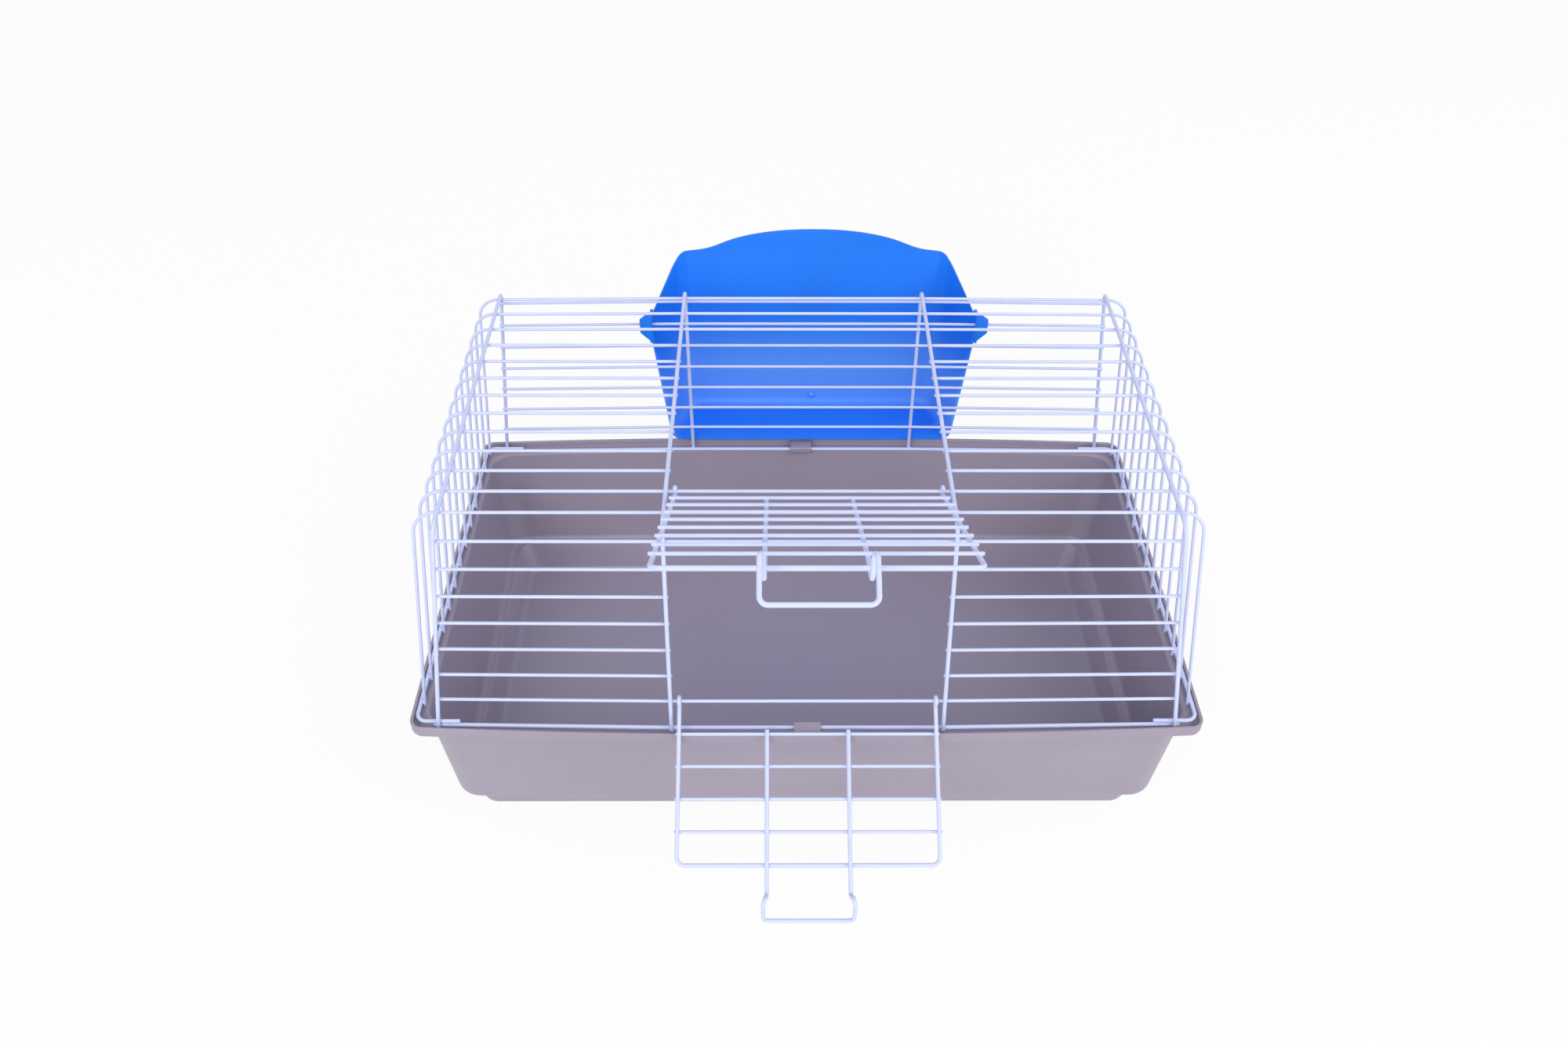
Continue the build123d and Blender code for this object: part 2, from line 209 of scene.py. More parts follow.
class WireSizes(bpy.types.PropertyGroup):
    """Sizes of the coated wire."""

    thin: FloatProperty(
        name="Thin Radius", description="Radius of the cross wires",
        default=0.00125, min=0.0005, max=0.003, unit="LENGTH")
    heavy: FloatProperty(
        name="Heavy Radius", description="Radius of stringers, rails and door frames",
        default=0.0016, min=0.0005, max=0.004, unit="LENGTH")
    sides: IntProperty(
        name="Sides", description="Sides of a wire's round section",
        default=16, min=6, max=32)
    steps: IntProperty(
        name="Bend Steps", description="Steps in a quarter turn of wire",
        default=10, min=3, max=24)
    bead: FloatProperty(
        name="Weld Bead", description="Half length of a coated weld bead",
        default=0.0018, min=0.0005, max=0.004, unit="LENGTH")
    end_round: FloatProperty(
        name="End Round", description="Rounding of a cut wire end",
        default=0.0005, min=0.0001, max=0.001, unit="LENGTH")


class TraySizes(bpy.types.PropertyGroup):
    """Sizes of the moulded tray."""

    corner_steps: IntProperty(
        name="Corner Steps", description="Steps in each rounded corner",
        default=14, min=4, max=32)
    side_cuts: IntProperty(
        name="Side Cuts", description="Cuts along each bowed long side",
        default=23, min=3, max=64)
    clip_width: FloatProperty(
        name="Clip Width", description="Width of the clips on the rim",
        default=0.020, min=0.005, max=0.05, unit="LENGTH")
    clip_wall: FloatProperty(
        name="Clip Wall", description="Thickness of the clips on the rim",
        default=0.0017, min=0.001, max=0.006, unit="LENGTH")


class TopDoorSizes(bpy.types.PropertyGroup):
    """Sizes of the roof's door."""

    length: FloatProperty(
        name="Top Door Length", description="From the hinge wire to the end of the hoop",
        default=0.2007, min=0.1, max=0.3, unit="LENGTH")
    first: FloatProperty(
        name="First Wire", description="From the hinge wire to the first cross wire",
        default=0.0223, min=0.01, max=0.05, unit="LENGTH")
    wires: IntProperty(name="Cross Wires", description="Number of cross wires", default=8, min=1, max=20)
    tilt: FloatProperty(
        name="Tilt", description="How far the open door rises from the level",
        default=math.radians(28.4), subtype="ANGLE")
    reach: FloatProperty(
        name="Handle Reach", description="From the hooks to the end of the handle",
        default=0.022, min=0.01, max=0.05, unit="LENGTH")


class FrontDoorSizes(bpy.types.PropertyGroup):
    """Sizes of the front's door."""

    length: FloatProperty(
        name="Front Door Length", description="From the hinge wire to the end of the hoop",
        default=0.1197, min=0.05, max=0.2, unit="LENGTH")
    first: FloatProperty(
        name="First Wire", description="From the hinge wire to the first cross wire",
        default=0.0241, min=0.01, max=0.05, unit="LENGTH")
    wires: IntProperty(name="Cross Wires", description="Number of cross wires", default=4, min=1, max=20)
    tilt: FloatProperty(
        name="Tilt", description="How far the open door falls from the level",
        default=math.radians(34.0), subtype="ANGLE")
    reach: FloatProperty(
        name="Handle Reach", description="From the hooks to the end of the handle",
        default=0.017, min=0.01, max=0.05, unit="LENGTH")


class FeederSizes(bpy.types.PropertyGroup):
    """Fine shape of the hay feeder."""

    edge_round: FloatProperty(
        name="Edge Round", description="Rounding of the moulded edges",
        default=0.0006, min=0.0001, max=0.002, unit="LENGTH")
    mark: FloatProperty(
        name="Gate Mark", description="Radius of the gate mark on the back wall",
        default=0.0033, min=0.0005, max=0.005, unit="LENGTH")


class CageFinishes(bpy.types.PropertyGroup):
    """Colours of the cage and its floor."""

    wire: FloatVectorProperty(
        name="Wire Coating", description="Colour of the coated wire",
        subtype="COLOR", default=(0.62, 0.68, 0.965), min=0, max=1)
    tray: FloatVectorProperty(
        name="Tray", description="Colour of the tray's plastic",
        subtype="COLOR", default=(0.345, 0.302, 0.388), min=0, max=1)
    # Painted sky light: the tray's floor takes a bluer tone, as the light from above falls there
    tray_painted_sky_tone: FloatVectorProperty(
        name="Tray Painted Sky Tone", description="Colour of the tray near its floor",
        subtype="COLOR", default=(0.326, 0.294, 0.384), min=0, max=1)
    feeder: FloatVectorProperty(
        name="Feeder", description="Colour of the feeder's plastic",
        subtype="COLOR", default=(0.012, 0.212, 0.94), min=0, max=1)
    # Painted sheen: a lighter, paler tone on the feeder's lower back wall, where more light falls and the
    # sky shows in its gloss
    feeder_painted_sheen: FloatVectorProperty(
        name="Feeder Painted Sheen", description="Colour of the feeder near its floor",
        subtype="COLOR", default=(0.12, 0.365, 0.96), min=0, max=1)
    floor: FloatVectorProperty(
        name="Floor", description="Colour of the studio floor",
        subtype="COLOR", default=(0.95, 0.95, 0.95), min=0, max=1)


class StageSizes(bpy.types.PropertyGroup):
    """Camera and light of the studio."""

    focal: FloatProperty(
        name="Lens", description="Focal length for a 36 mm wide sensor, in millimetres",
        default=30.067, min=10, max=200)
    camera: FloatVectorProperty(
        name="Camera", description="Place of the camera",
        subtype="TRANSLATION", default=(-0.0237, -0.8127, 0.9101))
    pitch: FloatProperty(
        name="Pitch", description="How far the camera looks down",
        subtype="ANGLE", default=math.radians(41.576))
    yaw: FloatProperty(
        name="Yaw", description="How far the camera looks to the right",
        subtype="ANGLE", default=math.radians(0.462))
    roll: FloatProperty(
        name="Roll", description="How far the camera is rolled",
        subtype="ANGLE", default=math.radians(0.304))
    sky: FloatProperty(
        name="Sky", description="Strength of the even light from all around",
        default=0.58, min=0, max=2)
    key: FloatProperty(
        name="Key Light", description="Power of the main soft light in watts",
        default=104.0, min=0, max=500)
    fill: FloatProperty(
        name="Fill Light", description="Power of the second soft light in watts",
        default=66.0, min=0, max=500)
    glow: FloatProperty(
        name="Floor Glow", description="Share of even white in the floor that the eye sees",
        default=0.90, min=0, max=1, subtype="FACTOR")


# Places of the wires
def wire():
    return bpy.context.scene.cage_wire


def thin_on_heavy():
    """Between the axes of a thin and a heavy wire that are welded."""
    return wire().thin + wire().heavy - WELD_SINK


def heavy_on_heavy():
    """Between the axes of two heavy wires that are welded."""
    return 2 * wire().heavy - WELD_SINK


def weld_depth():
    """From a heavy wire's axis to the middle of a weld."""
    return wire().heavy - WELD_SINK / 2


def rail_z():
    return LEDGE + wire().heavy


def end_rail_z():
    return rail_z() + heavy_on_heavy()


def end_rail_x():
    return LEG_FOOT_X - LEG_SINK + thin_on_heavy()


def stringer_z():
    return ROOF + thin_on_heavy()


def stringer_back_y():
    return RAIL_Y + heavy_on_heavy()


def front_line(along, inward):
    """Point (y, z) on the leaning front, measured up the stringers and inward from them."""
    foot_y = -RAIL_Y - heavy_on_heavy() * math.cos(LEAN)
    foot_z = rail_z() + heavy_on_heavy() * math.sin(LEAN)
    y = foot_y + along * math.sin(LEAN) + inward * math.cos(LEAN)
    z = foot_z + along * math.cos(LEAN) - inward * math.sin(LEAN)
    return y, z


def front_top_along():
    """Length of the stringers' run up the front."""
    return (stringer_z() - front_line(0, 0)[1]) / math.cos(LEAN)


def front_bow_at(along):
    """How far the inner stringers stand out of the front's plane."""
    return FRONT_BOW * math.cos(LEAN) * (1 - along / front_top_along())


def front_along(number):
    """Distance of a front wire up the stringers."""
    return FRONT_FIRST + (FRONT_COUNT - number) * FRONT_PITCH


def front_place(number, inward):
    """Point (y, z) at a front wire on the outer stringers."""
    return front_line(front_along(number), inward)


def front_middle(number, inward):
    """Point (y, z) at a front wire between the inner stringers."""
    along = front_along(number)
    return front_line(along, inward - front_bow_at(along))


def roof_y(number):
    return ROOF_BACK_Y - (number - 1) * ROOF_PITCH


def roof_bow(number):
    """How far the middle of a roof wire is bowed to the back, fading over the wires behind the door."""
    return BACK_BOW * max(0, ROOF_CATCH + 1 - number) / (ROOF_CATCH + 1)


def roof_place(number, x):
    """Point on a roof wire's run across the roof."""
    share = (ROOF_CORNER_X - abs(x)) / (ROOF_CORNER_X - INNER_X)
    return Vector((x, roof_y(number) + share * roof_bow(number), ROOF))


def back_z(number):
    return BACK_TOP - (number - 1) * BACK_PITCH


def outer_x(z):
    """X of an outer stringer at a height on the front or back."""
    share = (z - rail_z()) / (stringer_z() - rail_z())
    return OUTER_LOW_X + share * (OUTER_TOP_X - OUTER_LOW_X)


def leg_foot(number):
    """Lower end of a roof wire's leg on the right-hand end."""
    share = (number - 1) / (ROOF_COUNT - 1)
    y = LEG_BACK_Y + share * (LEG_FRONT_Y - LEG_BACK_Y)
    return Vector((LEG_FOOT_X, y, end_rail_z() - LEG_DROP))


def leg_corner(number):
    """Where a roof wire's leg and its run across the roof would meet, on the right-hand end."""
    return Vector((ROOF_CORNER_X, roof_y(number), ROOF))


def on_side(point, side):
    return Vector((side * point[0], point[1], point[2]))


# Meshes and pieces
def to_data(name, mesh):
    """Keeps what a bmesh holds as mesh data."""
    data = bpy.data.meshes.new(name)
    mesh.to_mesh(data)
    mesh.free()
    return data


def add_mesh(mesh, other):
    """Moves what another bmesh holds into this one."""
    data = to_data("joined", other)
    mesh.from_mesh(data)
    bpy.data.meshes.remove(data)


def add_object(name, data):
    made = bpy.data.objects.new(name, data)
    bpy.context.scene.collection.objects.link(made)
    return made


def round_off(mesh, geom, offset, segments, affect="EDGES", clamp_overlap=False):
    bmesh.ops.bevel(mesh, geom=geom, offset=offset, segments=segments, profile=0.5, affect=affect,
                    material=-1, clamp_overlap=clamp_overlap)


def far_end(made):
    """Vertices at the far end of what was extruded or spun, and the edges between them."""
    verts = {item for item in made if isinstance(item, bmesh.types.BMVert)}
    edges = [item for item in made if isinstance(item, bmesh.types.BMEdge)]
    return list(verts), [edge for edge in edges if edge.verts[0] in verts and edge.verts[1] in verts]


def make_piece(name, mesh, material, body, node, sharp_angle):
    """Turns a finished bmesh into a piece that rides on a body and stands for a CAD node."""
    for face in mesh.faces:
        face.smooth = True
    data = to_data(name, mesh)
    data.set_sharp_from_angle(angle=sharp_angle)
    data.materials.append(material)
    piece = add_object(name, data)
    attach(piece, body)
    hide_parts(node)


def wire_piece(node, mesh, body="cage"):
    bmesh.ops.recalc_face_normals(mesh, faces=mesh.faces)
    make_piece(node + "_coated", mesh, coated_wire(), body, node, SHARP_WIRE)


def make_wires(node, draw, numbers, *values):
    """One piece of the cage's wires, which are drawn by their numbers or sides."""
    mesh = bmesh.new()
    for number in numbers:
        draw(mesh, number, *values)
    wire_piece(node, mesh)


# Wire drawing
class WireBender:
    """Draws one wire: a round section is pushed along straight runs and turned through bends."""

    def __init__(self, mesh, start, heading, radius):
        self.mesh = mesh
        self.steps = wire().steps
        self.end_round = min(wire().end_round, END_SHARE * radius)
        turn = heading.to_track_quat("Z", "Y").to_matrix().to_4x4()
        ring = bmesh.ops.create_circle(mesh, cap_ends=True, segments=wire().sides, radius=radius,
                                       matrix=Matrix.Translation(start) @ turn)
        self.section = list(dict.fromkeys(edge for vert in ring["verts"] for edge in vert.link_edges))
        self.first_ring = list(self.section)

    def push(self, offset):
        made = bmesh.ops.extrude_edge_only(self.mesh, edges=self.section)["geom"]
        verts, self.section = far_end(made)
        bmesh.ops.translate(self.mesh, verts=verts, vec=offset)

    def turn(self, centre, axis, angle):
        steps = max(FEWEST_STEPS, round(self.steps * abs(angle) / math.radians(90)))
        verts = list(dict.fromkeys(vert for edge in self.section for vert in edge.verts))
        made = bmesh.ops.spin(self.mesh, geom=verts + self.section, cent=centre, axis=axis, angle=angle,
                              steps=steps, use_duplicate=False)["geom_last"]
        self.section = far_end(made)[1]

    def follow(self, points, bends):
        """Runs from point to point, rounding each corner to its bend radius."""
        here = points[0]
        for point, ahead, bend in zip(points[1:], points[2:], bends):
            before = (point - here).normalized()
            after = (ahead - point).normalized()
            angle = before.angle(after)
            setback = bend * math.tan(angle / 2)
            entry = point - before * setback
            axis = before.cross(after).normalized()
            self.push(entry - here)
            self.turn(entry + axis.cross(before) * bend, axis, angle)
            here = point + after * setback
        self.push(points[-1] - here)

    def close(self):
        bmesh.ops.contextual_create(self.mesh, geom=self.section)
        round_off(self.mesh, self.first_ring + self.section, self.end_round, ROUND_STEPS)


def draw_wire(mesh, points, radius, bends=()):
    points = [Vector(point) for point in points]
    bender = WireBender(mesh, points[0], (points[1] - points[0]).normalized(), radius)
    bender.follow(points, bends)
    bender.close()


def draw_bowed_wire(mesh, half, place, middle, radius):
    """Cross wire that is straight between the inner stringers and falls back to its ends."""
    points = [(-half, *place), (-INNER_X, *middle), (INNER_X, *middle), (half, *place)]
    draw_wire(mesh, points, radius, (BOW_BEND, BOW_BEND))


def draw_weld(mesh, place, along, across):
    """Flattened bead where two crossing wires are welded and coated over."""
    along = Vector(along).normalized()
    normal = along.cross(Vector(across)).normalized()
    across = normal.cross(along)
    size = wire().bead
    axes = (along * size, across * size * BEAD_WIDTH, normal * size * BEAD_HEIGHT)
    shape = Matrix(axes).transposed().to_4x4()
    bmesh.ops.create_uvsphere(mesh, u_segments=BEAD_SIDES, v_segments=BEAD_RINGS, radius=1.0,
                              matrix=Matrix.Translation(place) @ shape)


# Shader nodes
def set_values(node, values):
    for label, value in values.items():
        node.inputs[label].default_value = value


def add_node(tree, kind, values=None, **options):
    """Adds a shader node of a kind, with its options and the values of its inputs."""
    node = tree.nodes.new("ShaderNode" + kind)
    for name, option in options.items():
        setattr(node, name, option)
    set_values(node, values or {})
    return node


def join(tree, *links):
    """Links nodes; each link is a node, its output, the next node and its input."""
    for node, output, next_node, label in links:
        tree.links.new(node.outputs[output], next_node.inputs[label])


def new_group(name, inputs, outputs):
    """Starts a shader group; its inputs are given by their defaults, its outputs by their sockets."""
    group = bpy.data.node_groups.new(name, "ShaderNodeTree")
    for label, default in inputs.items():
        kind = COLOUR if isinstance(default, tuple) else VALUE
        socket = group.interface.new_socket(label, in_out="INPUT", socket_type=kind)
        socket.default_value = default
    for label, kind in outputs.items():
        group.interface.new_socket(label, in_out="OUTPUT", socket_type=kind)
    return group, group.nodes.new("NodeGroupInput"), group.nodes.new("NodeGroupOutput")


# Shader groups that the finishes share
def uneven_surface():
    """Soft uneven colour and gloss, as moulded and coated surfaces show."""
    name = "uneven_surface"
    if name in bpy.data.node_groups:
        return bpy.data.node_groups[name]
    group, start, end = new_group(
        name,
        {"Colour": GREY, "Second": GREY, "Patch Scale": 20.0, "Gloss Low": 0.3, "Gloss High": 0.5},
        {"Colour": COLOUR, "Roughness": VALUE})
    place = add_node(group, "TexCoord")
    large = add_node(group, "TexNoise", {"Detail": 4.0})
    small = add_node(group, "TexNoise", {"Scale": 420.0, "Detail": 3.0})
    spread = add_node(group, "MapRange", {"From Min": 0.35, "From Max": 0.65})
    tint = add_node(group, "Mix", data_type="RGBA")
    gloss = add_node(group, "MapRange", {"From Min": 0.3, "From Max": 0.7})
    join(group,
         (place, "Object", large, "Vector"),
         (place, "Object", small, "Vector"),
         (start, "Patch Scale", large, "Scale"),
         (large, "Fac", spread, "Value"),
         (spread, "Result", tint, "Factor"),
         (start, "Colour", tint, "A"),
         (start, "Second", tint, "B"),
         (small, "Fac", gloss, "Value"),
         (start, "Gloss Low", gloss, "To Min"),
         (start, "Gloss High", gloss, "To Max"),
         (tint, "Result", end, "Colour"),
         (gloss, "Result", end, "Roughness"))
    return group


def height_tint():
    """Second tone that takes over towards the bottom of a moulding, above its floor, and as far as asked
    only on faces that look to the front. On the tray and the feeder this is painted light; on the wire it
    is only darker towards the bottom.
    """
    name = "height_tint"
    if name in bpy.data.node_groups:
        return bpy.data.node_groups[name]
    group, start, end = new_group(
        name,
        {"Colour": GREY, "Low Tone And Painted Light": GREY, "Low Height": 0.0, "High Height": 0.1, **NO_FLOOR},
        {"Colour": COLOUR})
    place = add_node(group, "TexCoord")
    parts = add_node(group, "SeparateXYZ")
    fade = add_node(group, "MapRange", {"To Min": 1.0, "To Max": 0.0}, interpolation_type="SMOOTHSTEP")
    rise = add_node(group, "MapRange", interpolation_type="SMOOTHSTEP")
    both = add_node(group, "Math", operation="MULTIPLY")
    facing = add_node(group, "SeparateXYZ")
    # Faces that look to the front, where the lamps fall, are where the painted light goes
    front = add_node(group, "MapRange", {"From Min": 0.0, "From Max": -0.3})
    held = add_node(group, "Mix", {"A": 1.0}, data_type="FLOAT")
    share = add_node(group, "Math", operation="MULTIPLY")
    tint = add_node(group, "Mix", data_type="RGBA")
    join(group,
         (place, "Normal", facing, "Vector"),
         (facing, "Y", front, "Value"),
         (start, "Painted Light Front Only", held, "Factor"),
         (front, "Result", held, "B"),
         (place, "Object", parts, "Vector"),
         (parts, "Z", fade, "Value"),
         (parts, "Z", rise, "Value"),
         (start, "Floor Height", rise, "From Min"),
         (start, "Wall Height", rise, "From Max"),
         (start, "Low Height", fade, "From Min"),
         (start, "High Height", fade, "From Max"),
         (fade, "Result", both, 0),
         (rise, "Result", both, 1),
         (both, "Value", share, 0),
         (held, "Result", share, 1),
         (share, "Value", tint, "Factor"),
         (start, "Colour", tint, "A"),
         (start, "Low Tone And Painted Light", tint, "B"),
         (tint, "Result", end, "Colour"))
    return group


def fine_relief():
    """Fine height of a moulded grain or of coating that has flowed."""
    name = "fine_relief"
    if name in bpy.data.node_groups:
        return bpy.data.node_groups[name]
    group, start, end = new_group(
        name,
        {"Grain Scale": 900.0, "Wave Scale": 60.0, "Wave Share": 0.4},
        {"Height": VALUE})
    place = add_node(group, "TexCoord")
    cells = add_node(group, "TexVoronoi", feature="SMOOTH_F1")
    waves = add_node(group, "TexNoise", {"Detail": 2.0})
    both = add_node(group, "Mix", data_type="FLOAT")
    join(group,
         (place, "Object", cells, "Vector"),
         (place, "Object", waves, "Vector"),
         (start, "Grain Scale", cells, "Scale"),
         (start, "Wave Scale", waves, "Scale"),
         (start, "Wave Share", both, "Factor"),
         (cells, "Distance", both, "A"),
         (waves, "Fac", both, "B"),
         (both, "Result", end, "Height"))
    return group


# Finishes
def finish(name, colour, second, low, surface, fade, relief, bump, constants):
    """One finish: uneven colour that changes towards the bottom, uneven gloss and a fine relief."""
    if name in bpy.data.materials:
        return bpy.data.materials[name]
    material = bpy.data.materials.new(name)
    material.use_nodes = True
    tree = material.node_tree
    shader = tree.nodes["Principled BSDF"]
    tones = {"Colour": (*colour, 1), "Second": (*second, 1)}
    patches = add_node(tree, "Group", {**tones, **surface}, node_tree=uneven_surface())
    # The low tone carries the painted light of the tray and the feeder
    tint = add_node(tree, "Group", {"Low Tone And Painted Light": (*low, 1), **fade}, node_tree=height_tint())
    height = add_node(tree, "Group", relief, node_tree=fine_relief())
    raised = add_node(tree, "Bump", bump)
    join(tree,
         (patches, "Colour", tint, "Colour"),
         (tint, "Colour", shader, "Base Color"),
         (patches, "Roughness", shader, "Roughness"),
         (height, "Height", raised, "Height"),
         (raised, "Normal", shader, "Normal"))
    set_values(shader, constants)
    return material


def shade(colour, factor):
    return tuple(min(1.0, part * factor) for part in colour)


def coated_wire():
    colour = bpy.context.scene.cage_finish.wire
    return finish(
        # On the wire the low tone is only 2% darker towards the bottom
        "wire_finish", colour, second=shade(colour, 0.95), low=shade(colour, 0.98),
        surface={"Patch Scale": 45.0, "Gloss Low": 0.26, "Gloss High": 0.40},
        fade={"Low Height": 0.10, "High Height": 0.18, **NO_FLOOR},
        relief={"Grain Scale": 700.0, "Wave Scale": 240.0, "Wave Share": 0.8},
        bump={"Strength": 0.25, "Distance": 0.0002},
        constants={"Specular IOR Level": 0.4})


def tray_plastic():
    finishes = bpy.context.scene.cage_finish
    # The tray's low tone is painted sky light on its floor
    return finish(
        "tray_finish", finishes.tray, second=shade(finishes.tray, 0.93), low=finishes.tray_painted_sky_tone,
        surface={"Patch Scale": 9.0, "Gloss Low": 0.32, "Gloss High": 0.44},
        fade={"Low Height": 0.004, "High Height": 0.02, **NO_FLOOR},
        relief={"Grain Scale": 1500.0, "Wave Scale": 30.0, "Wave Share": 0.25},
        bump={"Strength": 0.22, "Distance": 0.00025},
        constants={"IOR": 1.49})


def feeder_plastic():
    finishes = bpy.context.scene.cage_finish
    # The feeder's low tone is painted sheen on the front faces of its lower back wall
    return finish(
        "feeder_finish", finishes.feeder, second=shade(finishes.feeder, 0.92), low=finishes.feeder_painted_sheen,
        surface={"Patch Scale": 14.0, "Gloss Low": 0.30, "Gloss High": 0.42},
        fade={"Low Height": 0.175, "High Height": 0.25, **FEEDER_PAINTED_SHEEN},
        relief={"Grain Scale": 1100.0, "Wave Scale": 36.0, "Wave Share": 0.55},
        bump={"Strength": 0.16, "Distance": 0.00025},
        constants={"Specular IOR Level": 0.35})


# Tray moulding
def plan_corner(turn):
    """Centre of a rounded corner of the tray's plan at a turn of its section."""
    inset = turn.inset + turn.corner
    return RIM_WIDTH / 2 - inset, RIM_DEPTH / 2 - inset


def tray_ring(mesh, turn, sizes):
    """Closed ring of edges: the tray's plan with rounded corners and cuts along the long sides."""
    half_x = RIM_WIDTH / 2 - turn.inset
    half_y = RIM_DEPTH / 2 - turn.inset
    place = Matrix.Translation((0, 0, turn.height)) @ Matrix.Diagonal((half_x, half_y, 1, 1))
    quad = bmesh.ops.create_grid(mesh, x_segments=1, y_segments=1, size=1, matrix=place)["verts"]
    round_off(mesh, quad, turn.corner, sizes.corner_steps, affect="VERTICES")
    bmesh.ops.delete(mesh, geom=list(mesh.faces), context="FACES_ONLY")
    long_sides = [edge for edge in mesh.edges if abs(edge.verts[0].co.x - edge.verts[1].co.x) > half_x]
    bmesh.ops.subdivide_edges(mesh, edges=long_sides, cuts=sizes.side_cuts)
    return list(mesh.edges)


def slide(place, centre, next_centre, growth):
    """One coordinate on the next plan: straight runs are stretched, corners scaled round their centre."""
    if abs(place) <= centre:
        return place * next_centre / centre
    return math.copysign(next_centre + (abs(place) - centre) * growth, place)


def push_ring(mesh, ring, turn, next_turn):
    """Extrudes a ring to the next turn of the tray's section."""
    made = bmesh.ops.extrude_edge_only(mesh, edges=ring)["geom"]
    verts, edges = far_end(made)
    centre = plan_corner(turn)
    next_centre = plan_corner(next_turn)
    growth = next_turn.corner / turn.corner
    for vert in verts:
        vert.co.x = slide(vert.co.x, centre[0], next_centre[0], growth)
        vert.co.y = slide(vert.co.y, centre[1], next_centre[1], growth)
        vert.co.z = next_turn.height
    return edges


def bow_ring(ring, turn):
    """Bows the long sides of a ring, more the higher it is."""
    bow = RIM_BOW * min(turn.height, LIP_LOW) / RIM_TOP
    half = RIM_WIDTH / 2 - turn.inset
    for vert in {vert for edge in ring for vert in edge.verts}:
        share = 1 - (vert.co.x / half) ** 2
        vert.co.y += math.copysign(bow * share, vert.co.y)


def turn_setback(before, turn, after):
    """How far from a turn of the section its rounding starts."""
    back = Vector((before.inset - turn.inset, before.height - turn.height))
    ahead = Vector((after.inset - turn.inset, after.height - turn.height))
    return turn.radius * math.tan((math.pi - back.angle(ahead)) / 2)


def draw_tray(mesh, sizes):
    """One ring pushed through the turns of the section, closed at both ends, bowed and rounded."""
    rings = [tray_ring(mesh, TRAY_TURNS[0], sizes)]
    for turn, next_turn in zip(TRAY_TURNS, TRAY_TURNS[1:]):
        rings.append(push_ring(mesh, rings[-1], turn, next_turn))
    bmesh.ops.contextual_create(mesh, geom=rings[0])
    bmesh.ops.contextual_create(mesh, geom=rings[-1])
    for turn, ring in zip(TRAY_TURNS, rings):
        bow_ring(ring, turn)
    underside, floor = [turn._replace(inset=RIM_DEPTH / 2) for turn in (TRAY_TURNS[0], TRAY_TURNS[-1])]
    section = (underside, *TRAY_TURNS, floor)
    for before, turn, after, ring in zip(section, TRAY_TURNS, section[2:], rings):
        steps = SMALL_TURN_STEPS if turn.radius < SMALL_TURN else LARGE_TURN_STEPS
        round_off(mesh, ring, turn_setback(before, turn, after), steps)
    bmesh.ops.recalc_face_normals(mesh, faces=mesh.faces)


def draw_clip(mesh, side, sizes):
    """Clip on the rim that hooks over a base rail; side is -1 at the front, 1 at the back."""
    heavy = wire().heavy
    bow = FRONT_BOW if side < 0 else BACK_BOW
    outer = RIM_DEPTH / 2 + RIM_BOW * LIP_LOW / RIM_TOP - sizes.clip_wall / 2
    under = rail_z() + heavy + CLIP_OVER_RAIL
    top = under + sizes.clip_wall
    nose_out = RAIL_Y + bow - heavy - CLIP_BESIDE_RAIL
    nose_in = nose_out - sizes.clip_wall
    nose_low = rail_z() - NOSE_DROP
    outline = (
        (outer, under), (nose_out, under), (nose_out, nose_low), (nose_in + TOE_INSET, nose_low),
        (nose_in, nose_low + TOE_RISE), (nose_in, top - SHOULDER), (nose_in + SHOULDER, top), (outer, top))
    clip = bmesh.new()
    face = clip.faces.new([clip.verts.new((-sizes.clip_width / 2, side * y, z)) for y, z in outline])
    made = bmesh.ops.extrude_face_region(clip, geom=[face], use_keep_orig=True)["geom"]
    bmesh.ops.translate(clip, verts=far_end(made)[0], vec=(sizes.clip_width, 0, 0))
    bmesh.ops.recalc_face_normals(clip, faces=clip.faces)
    round_off(clip, clip.edges, CLIP_EDGE_ROUND, CLIP_EDGE_STEPS, clamp_overlap=True)
    add_mesh(mesh, clip)


# Wire top
def draw_stringer(mesh, side, low_x, top_x, bowed):
    """From the back foot over the roof to the front foot; bowed is 1 for an inner stringer."""
    low = side * low_x
    top = side * top_x
    back_y = stringer_back_y() + bowed * BACK_BOW
    top_y = front_line(front_top_along(), 0)[0]
    points = [
        (low, back_y, rail_z() - STRINGER_BACK_END),
        (top, back_y, stringer_z()),
        (top, top_y, stringer_z()),
        (low, *front_line(-STRINGER_FRONT_END, -bowed * front_bow_at(-STRINGER_FRONT_END))),
    ]
    draw_wire(mesh, points, wire().heavy, (STRINGER_BACK_BEND, STRINGER_FRONT_BEND))
    front = front_line(0, weld_depth() - bowed * front_bow_at(0))
    draw_weld(mesh, (low, *front), RIGHT, UP_FRONT)
    draw_weld(mesh, (low, back_y - weld_depth(), rail_z()), RIGHT, UP)


def draw_base_rail(mesh, side, bow):
    half = OUTER_LOW_X + 2 * OVERHANG
    draw_bowed_wire(mesh, half, (side * RAIL_Y, rail_z()), (side * (RAIL_Y + bow), rail_z()), wire().heavy)


